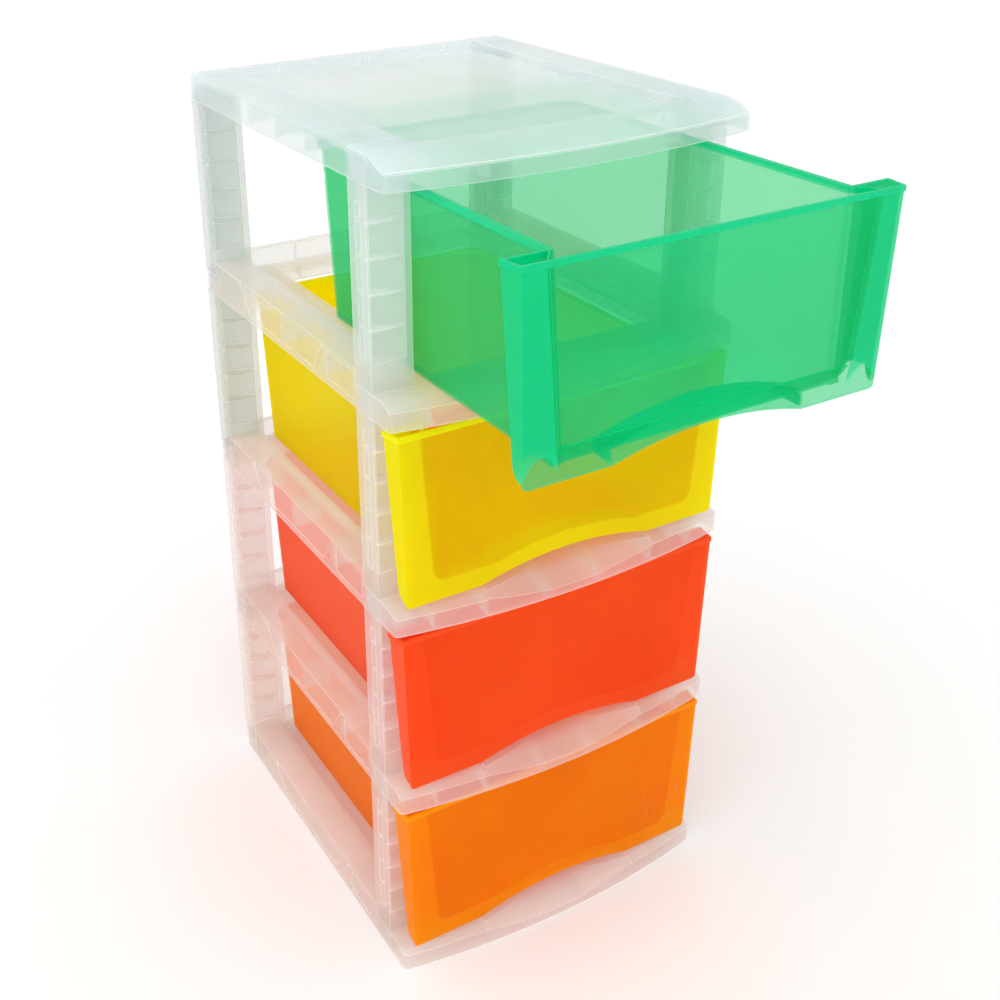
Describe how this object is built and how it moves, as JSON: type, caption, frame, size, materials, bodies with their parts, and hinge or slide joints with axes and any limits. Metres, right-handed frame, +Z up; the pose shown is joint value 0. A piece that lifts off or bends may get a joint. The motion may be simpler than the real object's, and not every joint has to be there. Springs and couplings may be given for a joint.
{
  "type": "plastic drawer tower",
  "caption": "Translucent plastic storage tower: coloured pull-out drawers in a plug-together frame of shelf frames, corner posts and a top shelf.",
  "frame": {"origin": "middle of the frame's footprint on the floor, halfway between the side walls and halfway between the front corners and the rear wall of the base frame", "axes": "+Z up; -Y is the side the drawers pull out of, so drawers open along -Y; +X to the right of someone facing the back of the tower from the front, that is the viewer's right when they look along +Y at the drawer fronts"},
  "size_m": [0.38, 0.6085, 0.867],
  "materials": {
    "frame_plastic": "satin, milky translucent polypropylene",
    "green_plastic": "satin, translucent polypropylene",
    "yellow_plastic": "satin, translucent polypropylene",
    "red_plastic": "satin, translucent polypropylene",
    "orange_plastic": "satin, translucent polypropylene"
  },
  "bodies": {
    "frame": {"top_shelf": "frame_plastic", "upper_shelf_frame": "frame_plastic", "middle_shelf_frame": "frame_plastic", "lower_shelf_frame": "frame_plastic", "base_frame": "frame_plastic", "post_top_front_left": "frame_plastic", "post_top_front_right": "frame_plastic", "post_top_rear_left": "frame_plastic", "post_top_rear_right": "frame_plastic", "post_upper_front_left": "frame_plastic", "post_upper_front_right": "frame_plastic", "post_upper_rear_left": "frame_plastic", "post_upper_rear_right": "frame_plastic", "post_lower_front_left": "frame_plastic", "post_lower_front_right": "frame_plastic", "post_lower_rear_left": "frame_plastic", "post_lower_rear_right": "frame_plastic", "post_bottom_front_left": "frame_plastic", "post_bottom_front_right": "frame_plastic", "post_bottom_rear_left": "frame_plastic", "post_bottom_rear_right": "frame_plastic"},
    "green_drawer": {"green_drawer": "green_plastic"},
    "yellow_drawer": {"yellow_drawer": "yellow_plastic"},
    "red_drawer": {"red_drawer": "red_plastic"},
    "orange_drawer": {"orange_drawer": "orange_plastic"}
  },
  "joints": [
    {"name": "green_drawer_slide", "type": "slide", "parent": "frame", "child": "green_drawer", "axis": [0, -1, 0], "range_m": [-0.184, 0.108]},
    {"name": "yellow_drawer_slide", "type": "slide", "parent": "frame", "child": "yellow_drawer", "axis": [0, -1, 0], "range_m": [0, 0.292]},
    {"name": "red_drawer_slide", "type": "slide", "parent": "frame", "child": "red_drawer", "axis": [0, -1, 0], "range_m": [0, 0.292]},
    {"name": "orange_drawer_slide", "type": "slide", "parent": "frame", "child": "orange_drawer", "axis": [0, -1, 0], "range_m": [0, 0.292]}
  ]
}
